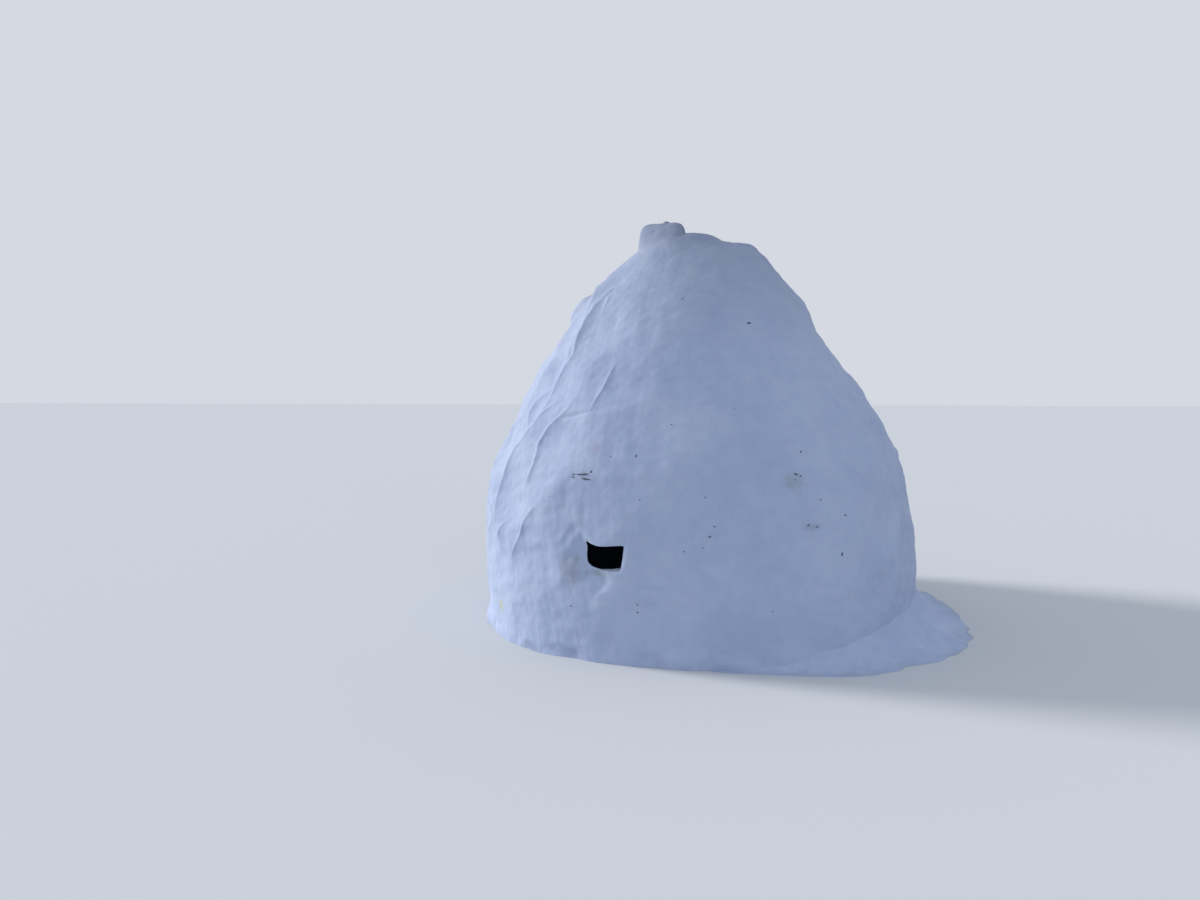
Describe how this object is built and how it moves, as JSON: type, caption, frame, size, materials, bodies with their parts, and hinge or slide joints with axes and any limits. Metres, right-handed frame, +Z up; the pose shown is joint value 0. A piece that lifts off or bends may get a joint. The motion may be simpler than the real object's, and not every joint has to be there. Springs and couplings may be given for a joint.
{
  "type": "tall snow igloo",
  "caption": "Tall beehive-shaped snow igloo: a hollow shell of packed snow blocks laid in leaning courses, with a small lookout window and an arched doorway at the back.",
  "frame": {"origin": "on the ground, at the middle of the footprint with the banked snow included", "axes": "+X to the right and +Y to the back as seen from the front, where the window is; +Z up"},
  "size_m": [3.4982, 3.1077, 2.825],
  "materials": {
    "packed_snow": "matte, smoothed by hand",
    "rolled_snow": "matte, lumpy",
    "banked_snow": "matte, soft and loose"
  },
  "bodies": {
    "root": {"course_1_back_left": "packed_snow", "course_1_back_right": "packed_snow", "course_1_front": "packed_snow", "course_1_front_left": "packed_snow", "course_1_front_right": "packed_snow", "course_1_left": "packed_snow", "course_1_right": "packed_snow", "course_2_back_left": "packed_snow", "course_2_back_right": "packed_snow", "course_2_front_left": "packed_snow", "course_2_front_right": "packed_snow", "course_2_left": "packed_snow", "course_2_right": "packed_snow", "course_3_back": "packed_snow", "course_3_front": "packed_snow", "course_3_front_left": "packed_snow", "course_3_front_right": "packed_snow", "course_3_left": "packed_snow", "course_3_right": "packed_snow", "course_4_back_left": "packed_snow", "course_4_back_right": "packed_snow", "course_4_front": "packed_snow", "course_4_left": "packed_snow", "course_4_right": "packed_snow", "course_5_back": "packed_snow", "course_5_front_left": "packed_snow", "course_5_front_right": "packed_snow", "course_5_left": "packed_snow", "course_5_right": "packed_snow", "course_6_back_left": "packed_snow", "course_6_back_right": "packed_snow", "course_6_front_left": "packed_snow", "course_6_front_right": "packed_snow", "course_7_back": "packed_snow", "course_7_front": "packed_snow", "course_7_left": "packed_snow", "course_7_right": "packed_snow", "course_8_back_right": "packed_snow", "course_8_front_right": "packed_snow", "course_8_left": "packed_snow", "crown_knob": "rolled_snow", "crown_ridge": "rolled_snow", "key_block": "packed_snow", "shoulder_lump": "rolled_snow", "snow_bank": "banked_snow"}
  },
  "joints": []
}
